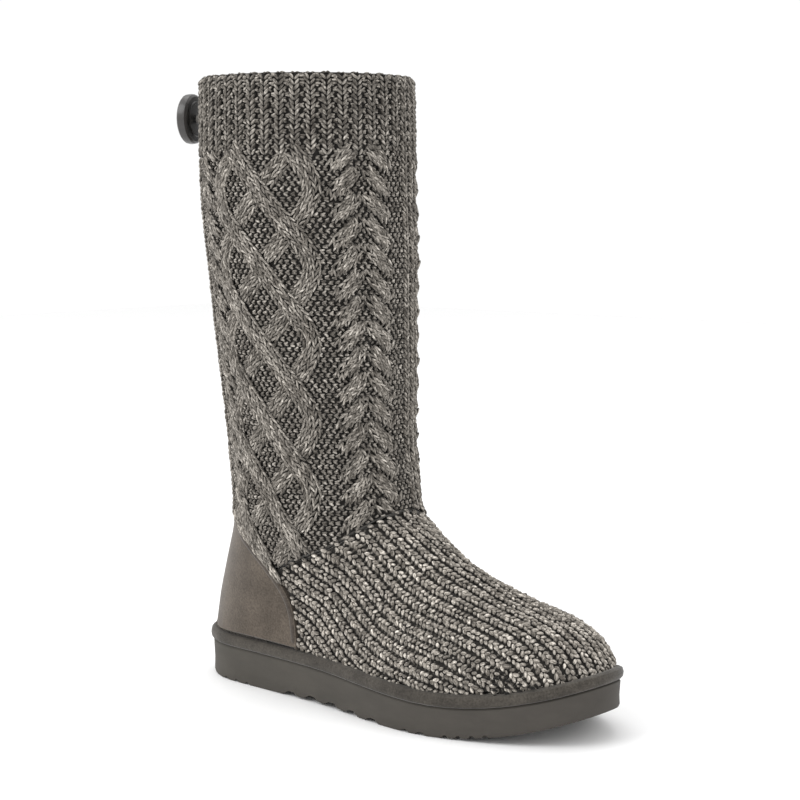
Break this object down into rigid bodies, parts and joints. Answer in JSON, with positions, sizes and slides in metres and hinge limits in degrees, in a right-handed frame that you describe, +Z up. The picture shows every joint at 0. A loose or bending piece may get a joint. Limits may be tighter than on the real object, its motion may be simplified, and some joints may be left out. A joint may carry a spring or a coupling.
{
  "type": "sweater boot",
  "caption": "Tall knitted boot with a ribbed cuff, cabled shaft, ribbed vamp, suede heel counter and a cushioned sole with a wrapped welt.",
  "frame": {"origin": "on the floor under the middle of the boot's outer box", "axes": "+X from the heel towards the toe, +Y towards the inner side of the foot, +Z up the shaft"},
  "size_m": [0.2864, 0.1176, 0.346],
  "materials": {
    "sole_foam": "matte",
    "welt_suede": "napped",
    "insole_fabric": "fleece",
    "vamp_knit": "ribbed wool knit",
    "shaft_knit": "cabled wool knit",
    "counter_suede": "napped",
    "button_plastic": "satin",
    "thread": "twisted"
  },
  "bodies": {
    "root": {"outsole": "sole_foam", "welt_wrap": "welt_suede", "insole": "insole_fabric", "vamp": "vamp_knit", "shaft": "shaft_knit", "heel_counter": "counter_suede", "button": "button_plastic", "button_shank": "thread"}
  },
  "joints": []
}
